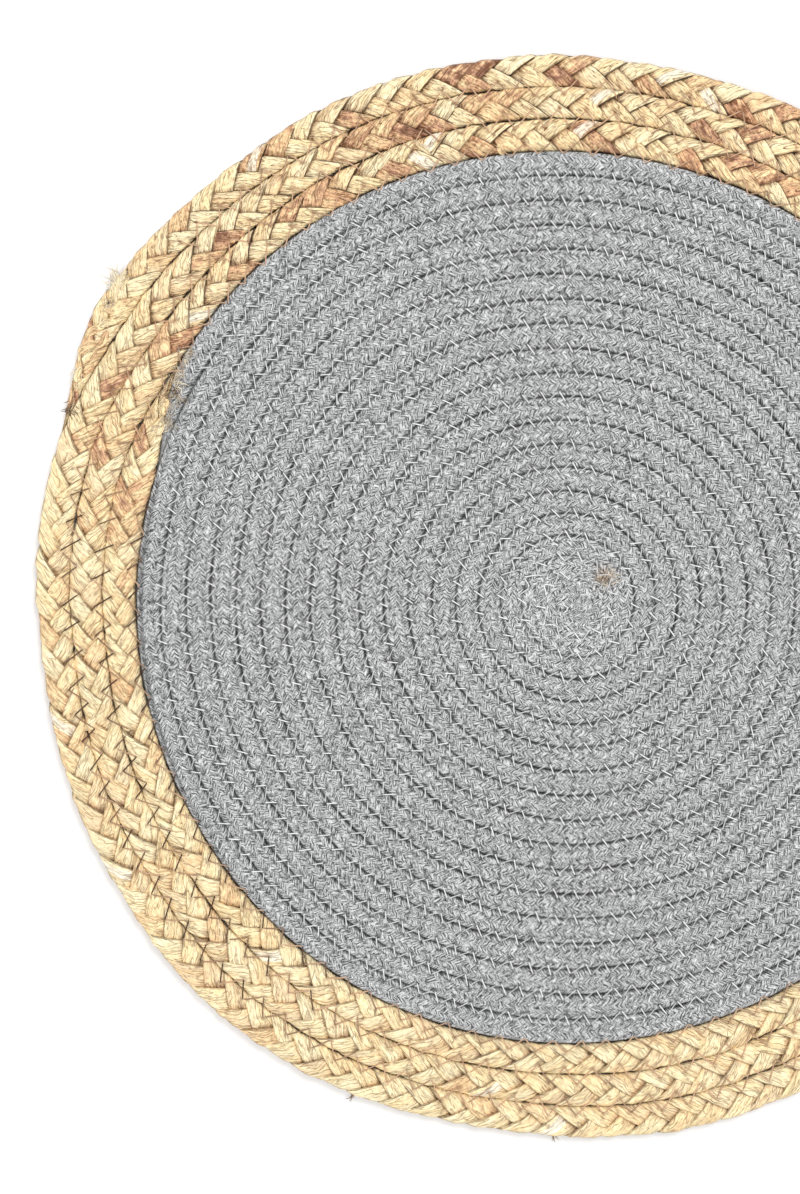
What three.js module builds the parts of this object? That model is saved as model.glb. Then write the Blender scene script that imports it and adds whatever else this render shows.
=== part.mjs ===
// A round placemat: one cotton cord coiled flat, with a border of plaited straw sewn round it.
// Lengths are millimetres and angles degrees, counted anticlockwise from +X as seen from above.
// +Z is up. The mat lies on z = 0, and the origin is at the middle of its underside.

import * as THREE from 'three';
import { mergeVertices } from 'three/addons/utils/BufferGeometryUtils.js';

const { clamp, degToRad, lerp, radToDeg, smoothstep, euclideanModulo } = THREE.MathUtils;

// The cord spirals out anticlockwise. It is wound tightly at the middle and opens to its full pitch.
const CORD_TURNS = 18.701;
const CORD_START_ANGLE = -88.4;
const CORD_PITCH = 8.75;
const CORD_FIRST_PITCH = 5.48;
const CORD_EASING_TURNS = 3.59;

// Heights of the coil: between two turns, on a turn's flat back, at the rim and at the very middle.
const GROOVE_HEIGHT = 3.5;
const CREST_HEIGHT = 5.5;
const RIM_HEIGHT = 2.8;
const MIDDLE_HEIGHT = 5;

// A turn's flat back lies between these shares of its width.
const CREST_SHARES = [0.26, 0.74];

// Stations along the cord are few at the small middle, and close along its end and the rim.
const CORD_STATIONS = [
  { fromTurns: 0, perTurn: 16 },
  { fromTurns: 2, perTurn: 32 },
  { fromTurns: 4, perTurn: 64 },
  { fromTurns: CORD_TURNS - 0.06, perTurn: 180 },
  { fromTurns: CORD_TURNS, perTurn: 110 },
  { fromTurns: CORD_TURNS + 0.94, perTurn: 220 },
];

// The border is one flat three-strand plait, laid round the coil three times.
const PLAIT_ROUNDS = 3;
const LOBE_PITCH = 11.2;
const STATIONS_PER_LOBE = 3;

// Heights of the plait: its lobes, the dips between them, its middle line, its seams and its edge.
const LOBE_HEIGHT = 6.4;
const DIP_HEIGHT = 4.5;
const MIDLINE_HEIGHT = 5.3;
const SEAM_HEIGHT = 3.4;
const EDGE_HEIGHT = 2.8;

// A lobe slants forward from the plait's edge to its middle line, and bulges over the edge.
const LOBE_SLANT = 5.6;
const LOBE_BULGE = 0.45;
const EDGE_UNDERCUT = 1.4;

// Places across the plait, as shares of its width: its sides, and the crests of both rows of lobes.
const INNER_SIDE = 0;
const INNER_LOBES = 0.25;
const HALF = 0.5;
const OUTER_LOBES = 0.75;
const OUTER_SIDE = 1;

// The cord's end and both ends of the plait taper over this stretch of the circle.
const STEP_START = 147;
const STEP_END = 164;

// The sewn joint between the coil and the border.
const JOINT_GAP = 0.3;

// A hand-made mat isn't a true circle: where the coil ends, and how far the border reaches.
// The angles run on past 360, because the rim is one turn of a spiral, from step to step.
const OUTLINE = [
  { angle: 164, coil: 152.9, border: 188.7 },
  { angle: 175, coil: 153.2, border: 188.4 },
  { angle: 187, coil: 153.3, border: 187.1 },
  { angle: 200, coil: 153.5, border: 188.0 },
  { angle: 212, coil: 153.6, border: 188.6 },
  { angle: 225, coil: 154.5, border: 190.3 },
  { angle: 240, coil: 155.3, border: 190.2 },
  { angle: 252, coil: 155.5, border: 188.5 },
  { angle: 264, coil: 155.5, border: 187.3 },
  { angle: 278, coil: 155.2, border: 189.0 },
  { angle: 292, coil: 155.2, border: 189.6 },
  { angle: 320, coil: 155.3, border: 189.1 },
  { angle: 350, coil: 155.4, border: 190.1 },
  { angle: 380, coil: 155.5, border: 189.3 },
  { angle: 410, coil: 155.7, border: 190.4 },
  { angle: 435, coil: 156.6, border: 189.8 },
  { angle: 455, coil: 158.4, border: 192.0 },
  { angle: 475, coil: 160.3, border: 193.8 },
  { angle: 490, coil: 161.2, border: 193.9 },
  { angle: 507, coil: 161.5, border: 196.6 },
];

const FULL_TURN = 360;
const NEXT_STEP_START = STEP_START + FULL_TURN;

const outlineCurve = new THREE.CubicInterpolant(
  OUTLINE.map(({ angle }) => angle),
  OUTLINE.flatMap(({ coil, border }) => [coil, border]),
  2,
);

// Line 0 is the coil's rim, the last line is the border's outer edge, and seams lie evenly between.
function lineRadius(line, angle) {
  const [coil, border] = outlineCurve.evaluate(angle);
  return lerp(coil, border, line / PLAIT_ROUNDS);
}

// The spiral line along the plait's inner side. At the step each line climbs to the next one out.
// The angle starts at the step, and one turn further is the plait's outer side.
function plaitLineRadius(angle) {
  const turn = Math.floor((angle - STEP_START) / FULL_TURN);
  const within = angle - turn * FULL_TURN;
  const lineBefore = Math.max(turn - 1, 0);
  const lineAfter = Math.min(turn, PLAIT_ROUNDS);
  const before = lineRadius(lineBefore, NEXT_STEP_START);
  const after = lineRadius(lineAfter, Math.max(within, STEP_END));
  return lerp(before, after, smoothstep(within, STEP_START, STEP_END));
}

function cordAngle(turns) {
  return CORD_START_ANGLE + turns * FULL_TURN;
}

function evenRadius(turns) {
  const easedIn = CORD_EASING_TURNS * (1 - Math.exp(-turns / CORD_EASING_TURNS));
  return CORD_PITCH * turns - (CORD_PITCH - CORD_FIRST_PITCH) * easedIn;
}

// Every turn shares the rim's unevenness in proportion, and it is blended across the step.
function outOfRound(angle) {
  const rimAngle = STEP_END + euclideanModulo(angle - STEP_END, FULL_TURN);
  const inside = Math.min(rimAngle, NEXT_STEP_START);
  const scaleAt = (place) => lineRadius(0, place) / evenRadius(CORD_TURNS + (place - STEP_END) / FULL_TURN);
  const stepShare = (rimAngle - inside) / (STEP_END - STEP_START);
  return lerp(scaleAt(inside), scaleAt(STEP_END), stepShare);
}

// The groove on the inner side of the cord.
function grooveRadius(turns) {
  return evenRadius(turns) * outOfRound(cordAngle(turns));
}

// The last turn's outer side is the rim, where the cord tapers out beside the plait's start.
function outerSideRadius(turns) {
  const onRim = turns > CORD_TURNS - 1;
  if (!onRim) {
    return grooveRadius(turns + 1);
  }
  const angle = STEP_END + (turns + 1 - CORD_TURNS) * FULL_TURN;
  const withinPlait = angle > NEXT_STEP_START ? angle - FULL_TURN : angle;
  return plaitLineRadius(withinPlait) - JOINT_GAP / 2;
}

function polar(radius, angle, height) {
  const radians = degToRad(angle);
  return new THREE.Vector3(radius * Math.cos(radians), radius * Math.sin(radians), height);
}

// A row is a list of stations, each with its place along the row and its point.
function station(place, point) {
  return { place, point };
}

function movedAlong(row, shift) {
  return row.map(({ place, point }) => station(place + shift, point));
}

// Joins two rows with triangles, which face up if the outer row is further from the middle.
function bridge(triangles, inner, outer) {
  let i = 0;
  let o = 0;
  while (i < inner.length - 1 || o < outer.length - 1) {
    const innerNext = i < inner.length - 1 ? inner[i + 1].place : Infinity;
    const outerNext = o < outer.length - 1 ? outer[o + 1].place : Infinity;
    if (innerNext <= outerNext) {
      triangles.push([inner[i].point, outer[o].point, inner[i + 1].point]);
      i += 1;
    } else {
      triangles.push([inner[i].point, outer[o].point, outer[o + 1].point]);
      o += 1;
    }
  }
}

// The foot of a rim, on the ground and drawn in under it.
function footOf(row, undercut) {
  return row.map(({ place, point }) => {
    const reach = Math.hypot(point.x, point.y);
    const drawnIn = (reach - undercut) / reach;
    return station(place, new THREE.Vector3(point.x * drawnIn, point.y * drawnIn, 0));
  });
}

// The flat underside inside an anticlockwise ring and outside an optional hole.
function addUnderside(triangles, ring, hole = []) {
  const contour = ring.slice(1).map(({ point }) => point);
  const opening = hole.slice(1).map(({ point }) => point).reverse();
  const points = [...contour, ...opening];
  THREE.ShapeUtils.triangulateShape([...contour], opening.length > 0 ? [[...opening]] : [])
    .forEach(([a, b, c]) => triangles.push([points[a], points[c], points[b]]));
}

function hasArea([a, b, c]) {
  return !a.equals(b) && !b.equals(c) && !c.equals(a);
}

function bodyFromTriangles(triangles) {
  const corners = triangles.filter(hasArea).flat().flatMap((point) => point.toArray());
  const loose = new THREE.BufferGeometry();
  loose.setAttribute('position', new THREE.Float32BufferAttribute(corners, 3));
  return mergeVertices(loose);
}

function cordPlaces(fromTurns, toTurns) {
  const lastTurns = CORD_TURNS + 1;
  const places = CORD_STATIONS.flatMap(({ fromTurns: start, perTurn }, index) => {
    const end = CORD_STATIONS[index + 1]?.fromTurns ?? lastTurns;
    const count = Math.round((end - start) * perTurn);
    return Array.from({ length: count }, (_, step) => lerp(start, end, step / count));
  });
  return [...places, lastTurns].filter((turns) => turns >= fromTurns && turns <= toTurns);
}

// The whole coil is one body: a ridge for each turn, grooves between them, and a flat underside.
function cottonCoil() {
  const taperStart = CORD_TURNS - (STEP_END - STEP_START) / FULL_TURN;
  const flattened = (height, turns) => lerp(height, RIM_HEIGHT, smoothstep(turns, taperStart, CORD_TURNS));

  const grooves = cordPlaces(0, CORD_TURNS).map((turns) => {
    const height = turns > 0 ? flattened(GROOVE_HEIGHT, turns) : MIDDLE_HEIGHT;
    return station(turns, polar(grooveRadius(turns), cordAngle(turns), height));
  });
  const rim = cordPlaces(CORD_TURNS, CORD_TURNS + 1)
    .map((turns) => station(turns, polar(outerSideRadius(turns - 1), cordAngle(turns), RIM_HEIGHT)));
  const tip = rim[0].point;
  grooves.at(-1).point = tip;
  rim.at(-1).point = tip;

  const crests = CREST_SHARES.map((share) => cordPlaces(0, CORD_TURNS).map((turns) => {
    const radius = lerp(grooveRadius(turns), outerSideRadius(turns), share);
    return station(turns, polar(radius, cordAngle(turns), flattened(CREST_HEIGHT, turns)));
  }));
  crests.forEach((row) => { row.at(-1).point = tip; });

  const triangles = [];
  const outerSide = movedAlong([...grooves.slice(0, -1), ...rim], -1).filter(({ place }) => place >= 0);
  bridge(triangles, grooves, crests[0]);
  bridge(triangles, crests[0], crests[1]);
  bridge(triangles, crests[1], outerSide);

  const middle = grooves[0].point;
  const firstGroove = grooves.filter(({ place }) => place <= 1);
  bridge(triangles, [station(0, middle)], firstGroove.slice(1));
  triangles.push([middle, outerSide[0].point, crests[1][0].point]);
  triangles.push([middle, crests[1][0].point, crests[0][0].point]);

  const foot = footOf(rim, 0);
  bridge(triangles, rim, foot);
  addUnderside(triangles, foot);
  return bodyFromTriangles(triangles);
}

// Where the plait starts, meets its own first round, begins to be the outline, and ends.
const PLAIT_JOINTS = [
  STEP_START,
  NEXT_STEP_START,
  STEP_END + (PLAIT_ROUNDS - 1) * FULL_TURN,
  STEP_END + PLAIT_ROUNDS * FULL_TURN,
];

// Stations along the plait, with a whole number of lobes in each stretch between its joints.
function plaitPlaces() {
  const places = PLAIT_JOINTS.slice(1).flatMap((end, index) => {
    const start = PLAIT_JOINTS[index];
    const midway = (start + end) / 2;
    const radius = (plaitLineRadius(midway) + plaitLineRadius(midway + FULL_TURN)) / 2;
    const lobes = Math.round((radius * degToRad(end - start)) / LOBE_PITCH);
    const count = lobes * STATIONS_PER_LOBE;
    return Array.from({ length: count }, (_, step) => lerp(start, end, step / count));
  });
  return [...places, PLAIT_JOINTS.at(-1)];
}

// The braid is one body: two rows of slanting lobes along the plait, with a seam between its rounds.
function strawBraid() {
  const places = plaitPlaces();
  const [first, ownSeamStart, outlineStart, last] = PLAIT_JOINTS;
  const fullWidth = lineRadius(1, STEP_END) - lineRadius(0, STEP_END);

  const innerRadius = (place) => plaitLineRadius(place) + (place <= ownSeamStart ? JOINT_GAP / 2 : 0);
  const outerRadius = (place) => plaitLineRadius(place + FULL_TURN) + (place === first ? JOINT_GAP / 2 : 0);

  // A point of the plait by its share of the width, drawn forward by its share of the slant.
  const plaitPoint = (place, { share, slanted, height, bulge = 0 }) => {
    const forward = radToDeg((LOBE_SLANT * slanted) / innerRadius(place));
    const angle = clamp(place + forward, first, last);
    const inner = innerRadius(angle);
    const outer = outerRadius(angle);
    const relief = Math.min(1, (outer - inner) / fullWidth);
    return polar(lerp(inner, outer, share) + bulge * relief, angle, lerp(SEAM_HEIGHT, height, relief));
  };

  const onSeam = { slanted: 0, height: SEAM_HEIGHT };
  const startTip = plaitPoint(first, { ...onSeam, share: INNER_SIDE });
  const endTip = plaitPoint(last, { ...onSeam, share: OUTER_SIDE });
  const withTips = (row) => [station(first, startTip), ...row, station(last, endTip)];
  const isDip = (number) => number % STATIONS_PER_LOBE === 0;
  const lobeHeight = (number) => (isDip(number) ? DIP_HEIGHT : LOBE_HEIGHT);
  const betweenTips = places.slice(1, -1);

  const outerEdge = withTips(betweenTips.map((place, index) => station(place, plaitPoint(place, {
    share: OUTER_SIDE,
    slanted: 0,
    height: place >= outlineStart ? EDGE_HEIGHT : SEAM_HEIGHT,
    bulge: isDip(index + 1) ? -LOBE_BULGE : LOBE_BULGE,
  }))));
  const outerLobes = withTips(betweenTips.map((place, index) => station(place, plaitPoint(place, {
    share: OUTER_LOBES,
    slanted: HALF,
    height: lobeHeight(index + 1),
  }))));
  const midline = withTips(betweenTips.map((place) => station(place, plaitPoint(place, {
    share: HALF,
    slanted: 1,
    height: MIDLINE_HEIGHT,
  }))));

  // The inner side's stations lie between the others, and its lobes half a lobe further on.
  const innerLobes = withTips(places.slice(1).map((place, index) => {
    const between = (places[index] + place) / 2;
    const height = lobeHeight(index + HALF - STATIONS_PER_LOBE / 2);
    return station(between, plaitPoint(between, { share: INNER_LOBES, slanted: HALF, height }));
  }));

  const coilSide = places.filter((place) => place <= ownSeamStart)
    .map((place) => station(place, plaitPoint(place, { ...onSeam, share: INNER_SIDE })));
  coilSide[0].point = startTip;
  coilSide.at(-1).point = startTip;
  const seams = movedAlong(outerEdge, FULL_TURN).filter(({ place }) => place <= last);
  const outline = outerEdge.filter(({ place }) => place >= outlineStart);
  seams.at(-1).point = endTip;
  outline[0].point = endTip;

  const triangles = [];
  bridge(triangles, [...coilSide, ...seams.slice(1)], innerLobes);
  bridge(triangles, innerLobes, midline);
  bridge(triangles, midline, outerLobes);
  bridge(triangles, outerLobes, outerEdge);

  const innerFoot = footOf(coilSide, 0);
  const outerFoot = footOf(outline, EDGE_UNDERCUT);
  bridge(triangles, innerFoot, coilSide);
  bridge(triangles, outline, outerFoot);
  addUnderside(triangles, outerFoot, innerFoot);
  return bodyFromTriangles(triangles);
}

function finish(colour, roughness) {
  return new THREE.MeshStandardMaterial({ color: colour, roughness, metalness: 0 });
}

function placemat() {
  const coil = new THREE.Mesh(cottonCoil(), finish(0xa9aaab, 0.95));
  coil.name = 'cotton_coil';
  const braid = new THREE.Mesh(strawBraid(), finish(0xdcbd8c, 0.7));
  braid.name = 'straw_braid';

  // The coil's middle isn't the outline's middle, so the mat is moved over the origin as a whole.
  const mat = new THREE.Group();
  mat.add(coil, braid);
  const middle = new THREE.Box3().setFromObject(mat).getCenter(new THREE.Vector3());
  mat.position.set(-middle.x, -middle.y, 0);
  return mat;
}

export default placemat();
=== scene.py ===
# %% [markdown]
# # A round placemat of coiled cord and plaited straw
# The real mat is made of two long, soft things. A grey cotton cord, as thick as a pencil, is wound
# flat into a coil and sewn to itself with a zigzag stitch. Round it lies a flat plait of dried
# leaf, three times round and sewn in the same way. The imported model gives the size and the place
# of both. This script loads it as a fixed frame, and builds what the eye sees on it.

# %% Load the frame
import math

import bpy
import numpy as np
from mathutils.bvhtree import BVHTree
from mathutils.kdtree import KDTree
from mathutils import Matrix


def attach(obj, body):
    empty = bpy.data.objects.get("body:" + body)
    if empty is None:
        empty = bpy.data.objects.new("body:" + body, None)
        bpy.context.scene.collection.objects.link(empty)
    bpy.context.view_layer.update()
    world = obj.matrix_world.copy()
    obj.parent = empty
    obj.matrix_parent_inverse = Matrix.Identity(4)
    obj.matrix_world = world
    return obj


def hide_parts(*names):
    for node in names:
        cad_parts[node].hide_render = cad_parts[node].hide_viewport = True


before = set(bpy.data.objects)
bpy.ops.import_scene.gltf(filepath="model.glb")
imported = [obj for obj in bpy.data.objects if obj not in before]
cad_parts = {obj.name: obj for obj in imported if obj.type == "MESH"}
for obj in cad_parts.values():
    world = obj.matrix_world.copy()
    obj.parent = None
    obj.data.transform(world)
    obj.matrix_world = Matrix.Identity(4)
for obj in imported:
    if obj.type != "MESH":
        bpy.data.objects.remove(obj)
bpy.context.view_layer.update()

MM = 0.001

# %% [markdown]
# ## The lines that the mat follows
# Everything on this mat lies along a spiral. It could be drawn by hand as a curve object, but then
# each thread and strand would need its own. Here the spiral is a few functions of the angle,
# counted anticlockwise from +X, so that the cord, the plait and every stitch read the same lines.
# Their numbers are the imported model's own: each row of the table says, for one angle, how far out
# the coil ends and how far out the border ends.

# %% Where the coil and the border end
TURN = 360.0
STEP_START, STEP_END = 147.0, 164.0
NEXT_STEP_START = STEP_START + TURN
PLAIT_ROUNDS = 3
JOINT_GAP = 0.3
EDGE_BULGE = 0.45
FINE_POINTS = 30001

# The angle in degrees, and the reach of the coil and of the border in millimetres.
OUTLINE = np.array([
    (164, 152.9, 188.7), (175, 153.2, 188.4), (187, 153.3, 187.1), (200, 153.5, 188.0),
    (212, 153.6, 188.6), (225, 154.5, 190.3), (240, 155.3, 190.2), (252, 155.5, 188.5),
    (264, 155.5, 187.3), (278, 155.2, 189.0), (292, 155.2, 189.6), (320, 155.3, 189.1),
    (350, 155.4, 190.1), (380, 155.5, 189.3), (410, 155.7, 190.4), (435, 156.6, 189.8),
    (455, 158.4, 192.0), (475, 160.3, 193.8), (490, 161.2, 193.9), (507, 161.5, 196.6),
])


def smooth_curve(angle, column):
    """A smooth curve through one column of the outline, with its slope taken from the neighbours."""
    places, values = OUTLINE[:, 0], OUTLINE[:, column]
    slopes = np.gradient(values, places)
    slopes[1:-1] = (values[2:] - values[:-2]) / (places[2:] - places[:-2])
    row = np.clip(np.searchsorted(places, angle) - 1, 0, len(places) - 2)
    span = places[row + 1] - places[row]
    s = (angle - places[row]) / span
    return (values[row] * (1 + 2 * s) * (1 - s) ** 2 + values[row + 1] * s * s * (3 - 2 * s)
            + span * (slopes[row] * s * (1 - s) ** 2 - slopes[row + 1] * s * s * (1 - s)))


def blend(a, b, share):
    return a + (b - a) * share


def smoothstep(value, low, high):
    share = np.clip((value - low) / (high - low), 0, 1)
    return share * share * (3 - 2 * share)


def line_radius(line, angle):
    """Line 0 is the coil's rim and the last line is the border's edge, with the seams between."""
    return blend(smooth_curve(angle, 1), smooth_curve(angle, 2), line / PLAIT_ROUNDS)


def plait_line(angle):
    """The plait's inner side. One turn further on, the same line is its outer side."""
    turn = np.floor((angle - STEP_START) / TURN)
    within = angle - turn * TURN
    before = line_radius(np.maximum(turn - 1, 0), NEXT_STEP_START)
    after = line_radius(np.minimum(turn, PLAIT_ROUNDS), np.maximum(within, STEP_END))
    return blend(before, after, smoothstep(within, STEP_START, STEP_END))


PLAIT_END = STEP_END + PLAIT_ROUNDS * TURN
edge_angles = np.linspace(PLAIT_END - TURN, PLAIT_END, 2000)
edge_reach = plait_line(edge_angles + TURN) + EDGE_BULGE
edge_x = edge_reach * np.cos(np.radians(edge_angles))
edge_y = edge_reach * np.sin(np.radians(edge_angles))
CENTRE = -np.array([(edge_x.min() + edge_x.max()) / 2, (edge_y.min() + edge_y.max()) / 2])
print("the spiral's own centre in mm:", CENTRE.round(2))

# %% The cord's spiral
CORD_TURNS = 18.701
CORD_START_ANGLE = -88.4
CORD_PITCH = 8.75
CORD_FIRST_PITCH = 5.48
CORD_EASING_TURNS = 3.59

# The waves in which the seam wanders, in millimetres: their height, their stretch and their start.
SEAM_WAVES = [(0.12, 11, 1.3), (0.08, 4.1, 0), (0.1, 29, 0)]


def waves(length, rows):
    """A sum of slow waves along a length."""
    return sum(height * np.sin(length / stretch + start) for height, stretch, start in rows)


def even_radius(turns):
    eased_in = CORD_EASING_TURNS * (1 - np.exp(-turns / CORD_EASING_TURNS))
    return CORD_PITCH * turns - (CORD_PITCH - CORD_FIRST_PITCH) * eased_in


def out_of_round(angle):
    """How much wider than a true spiral the coil is at an angle."""
    def scale_at(place):
        return line_radius(0, place) / even_radius(CORD_TURNS + (place - STEP_END) / TURN)

    rim_angle = STEP_END + np.mod(angle - STEP_END, TURN)
    inside = np.minimum(rim_angle, NEXT_STEP_START)
    share = (rim_angle - inside) / (STEP_END - STEP_START)
    return blend(scale_at(inside), scale_at(STEP_END), share)


def cord_angle(turns):
    return CORD_START_ANGLE + turns * TURN


def groove_radius(turns):
    """The seam on the inner side of the cord, which wanders a little, as a sewn seam does."""
    even = even_radius(turns)
    wander = waves(math.pi * even * turns, SEAM_WAVES)
    settled = np.clip(turns - 0.5, 0, 1) * np.clip((CORD_TURNS - turns) * 6, 0, 1)
    return even * out_of_round(cord_angle(turns)) + wander * settled


def outer_side_radius(turns):
    """The cord's outer side: the next seam out, or the rim where the border begins."""
    rim_angle = STEP_END + (turns + 1 - CORD_TURNS) * TURN
    rim_angle = np.where(rim_angle > NEXT_STEP_START, rim_angle - TURN, rim_angle)
    rim = plait_line(np.maximum(rim_angle, STEP_START)) - JOINT_GAP / 2
    return np.where(turns > CORD_TURNS - 1, rim, groove_radius(turns + 1))


def polar(radius, angle, height):
    """Points in millimetres from arrays of radius, angle in degrees, and height."""
    radius, angle, height = np.broadcast_arrays(radius, np.radians(angle), height)
    return np.stack([radius * np.cos(angle) + CENTRE[0], radius * np.sin(angle) + CENTRE[1], height], -1)


def running_length(points):
    steps = np.linalg.norm(np.diff(points, axis=0), axis=1)
    return np.concatenate([[0], np.cumsum(steps)])


dense_turns = np.linspace(0, CORD_TURNS, FINE_POINTS)
cord_middle = (groove_radius(dense_turns) + outer_side_radius(dense_turns)) / 2
cord_length = running_length(polar(cord_middle, cord_angle(dense_turns), 0))
seam_length = running_length(polar(groove_radius(dense_turns), cord_angle(dense_turns), 0))
print(f"the cord is {cord_length[-1] / 1000:.2f} m long, and its seam {seam_length[-1] / 1000:.2f} m")

# %% [markdown]
# ## Camera
# The photograph looks straight down on the mat, from well above it, and it cuts the mat off at the
# right. So the camera hangs over a point left of the middle and looks straight down, with no tilt
# and no shift.

# %% Camera
def add_object(name, data):
    """Puts a mesh, a lamp or a camera into the scene."""
    made = bpy.data.objects.new(name, data)
    bpy.context.scene.collection.objects.link(made)
    return made


FRAME_MIDDLE = (-60.55, 1.4)
FRAME_LENGTH = 417.9
LENS, SENSOR = 50.0, 36.0
MAT_LEVEL = 5.0

camera_data = bpy.data.cameras.new("camera")
camera_data.lens = LENS
camera_data.sensor_width = SENSOR
camera = add_object("camera", camera_data)
camera_height = FRAME_LENGTH * LENS / SENSOR + MAT_LEVEL
camera.location = [*(CENTRE + FRAME_MIDDLE) * MM, camera_height * MM]
bpy.context.scene.camera = camera
bpy.context.scene.view_settings.view_transform = "Standard"
print(f"the camera hangs {camera_height:.0f} mm above the table")

# %% [markdown]
# ## Sums that paint
# Every finish on this mat is drawn by nodes, and nodes that are linked one by one are hard to read.
# So a small class wraps one socket, and a sum on it adds the node that works it out. A second class
# holds a whole material, with the few kinds of node that cotton, straw and thread need.

# %% A class for shader maths
class Paint:
    """One socket of a material's nodes. Sums on it add Math nodes."""

    def __init__(self, tree, socket):
        self.tree = tree
        self.socket = socket

    def node(self, kind, settings=None, out=0, **inputs):
        """Adds a node, sets it up, and gives each named or numbered input a value or a link."""
        made = self.tree.nodes.new(kind)
        for name, value in (settings or {}).items():
            if name == "stops":
                set_stops(made.color_ramp.elements, value)
            else:
                setattr(made, name, value)
        for name, value in inputs.items():
            place = int(name[1:]) if name[0] == "i" and name[1:].isdigit() else name.replace("_", " ")
            self.feed(made.inputs[place], value)
        return Paint(self.tree, made.outputs[out])

    def feed(self, target, value):
        if isinstance(value, Paint):
            self.tree.links.new(value.socket, target)
        else:
            target.default_value = value

    def maths(self, operation, first, second=0.0):
        return self.node("ShaderNodeMath", {"operation": operation}, i0=first, i1=second)

    def __add__(self, other):
        return self.maths("ADD", self, other)

    def __sub__(self, other):
        return self.maths("SUBTRACT", self, other)

    def __mul__(self, other):
        return self.maths("MULTIPLY", self, other)

    def __truediv__(self, other):
        return self.maths("DIVIDE", self, other)

    def __radd__(self, other):
        return self.maths("ADD", other, self)

    def __rsub__(self, other):
        return self.maths("SUBTRACT", other, self)

    def __rmul__(self, other):
        return self.maths("MULTIPLY", other, self)

    def __pow__(self, other):
        return self.maths("POWER", self, other)

    def least(self, other):
        return self.maths("MINIMUM", self, other)

    def most(self, other):
        return self.maths("MAXIMUM", self, other)

    def within(self, low, high):
        return self.most(low).least(high)

    def floor(self):
        return self.maths("FLOOR", self)

    def fraction(self):
        return self.maths("FRACT", self)

    def size(self):
        return self.maths("ABSOLUTE", self)

    def wave(self):
        return self.maths("SINE", self)

    def ramp(self, low, high):
        """Goes smoothly from 0 to 1 while this one goes from low to high."""
        return self.node("ShaderNodeMapRange", {"interpolation_type": "SMOOTHSTEP"}, i0=self, i1=low, i2=high)


# %% Colours, as picked on a screen and as Blender counts them
def from_screen(red, green, blue):
    """A colour picked on a screen, from 0 to 255, as the light value that Blender counts in."""
    def light(level):
        level /= 255
        return level / 12.92 if level <= 0.04045 else ((level + 0.055) / 1.055) ** 2.4
    return (light(red), light(green), light(blue), 1.0)


def set_stops(elements, stops):
    """Gives a colour ramp its stops, from rows of (place, colour on a screen)."""
    while len(elements) < len(stops):
        elements.new(1.0)
    for element, (place, colour) in zip(elements, stops):
        element.position = place
        element.color = from_screen(*colour)


# %% A class for a whole material
class Finish:
    """A material with one Principled shader, and short ways to the nodes that this mat needs."""

    def __init__(self, name, **fixed):
        self.material = bpy.data.materials.new(name)
        self.material.use_nodes = True
        self.tree = self.material.node_tree
        self.shader = self.tree.nodes["Principled BSDF"]
        self.start = Paint(self.tree, None)
        for socket, value in fixed.items():
            self.shader.inputs[socket.replace("_", " ")].default_value = value

    def number(self, attribute):
        return self.start.node("ShaderNodeAttribute", {"attribute_name": attribute}, out=2)

    def place_on(self, uv_map):
        """The two coordinates that a mesh keeps in one of its maps."""
        both = self.start.node("ShaderNodeUVMap", {"uv_map": uv_map})
        parts = self.start.node("ShaderNodeSeparateXYZ", i0=both).socket.node
        return Paint(self.tree, parts.outputs[0]), Paint(self.tree, parts.outputs[1])

    def at(self, x, y, z=0.0):
        return self.start.node("ShaderNodeCombineXYZ", i0=x, i1=y, i2=z)

    def noise_on(self, vector, scale=1.0, detail=1.0, rough=0.5):
        return self.start.node("ShaderNodeTexNoise", i0=vector, Scale=scale, Detail=detail, Roughness=rough)

    def noise(self, x, y, z=0.0, **how):
        """Soft noise round 0.5, at a place that is given by two or three values."""
        return self.noise_on(self.at(x, y, z), **how)

    def chance(self, x, y, z=0.0):
        """A random number from 0 to 1 for each place."""
        return self.start.node("ShaderNodeTexWhiteNoise", i0=self.at(x, y, z))

    def mix(self, share, first, second, how="MIX"):
        """Mixes two colours."""
        settings = {"data_type": "RGBA", "blend_type": how}
        return self.start.node("ShaderNodeMix", settings, out=2, i0=share, i6=first, i7=second)

    def scaled(self, colour, amount):
        """A colour made lighter or darker by a number."""
        return self.mix(1.0, colour, self.at(amount, amount, amount), "MULTIPLY")

    def relief(self, height, distance):
        """Lets a height, in shares of a distance in millimetres, tilt the shading."""
        bumped = self.start.node("ShaderNodeBump", Strength=1.0, Distance=distance * MM, Height=height)
        self.start.feed(self.shader.inputs["Normal"], bumped)

    def colour(self, value):
        self.start.feed(self.shader.inputs["Base Color"], value)

    def roughness(self, value):
        self.start.feed(self.shader.inputs["Roughness"], value)


# %% [markdown]
# ## Floor and light
# The floor is a plain white table. A large soft lamp from the upper right makes the turns of the
# cord stand out, and a pale sky fills the shadows.

# %% Floor
FLOOR_REACH = 4.0


def make_object(name, mesh, finish):
    made = add_object(name, mesh)
    mesh.materials.append(finish.material)
    return made


table_finish = Finish("table_white", Roughness=0.8, Specular_IOR_Level=0.1)
table_finish.colour(from_screen(252, 252, 252))
floor_mesh = bpy.data.meshes.new("floor")
floor_corners = [(x * FLOOR_REACH, y * FLOOR_REACH, 0) for x, y in ((-1, -1), (1, -1), (1, 1), (-1, 1))]
floor_mesh.from_pydata(floor_corners, [], [(0, 1, 2, 3)])
floor = make_object("floor", floor_mesh, table_finish)

# %% Lights
# Each lamp's name, its size in metres, its power in watts and its place. All of them face the mat.
LAMPS = [("key_lamp", 0.9, 16, (0.6, 1.0, 1.6)), ("fill_lamp", 1.6, 12, (-1.2, -0.9, 1.6))]
SKY_STRENGTH = 0.76

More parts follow.
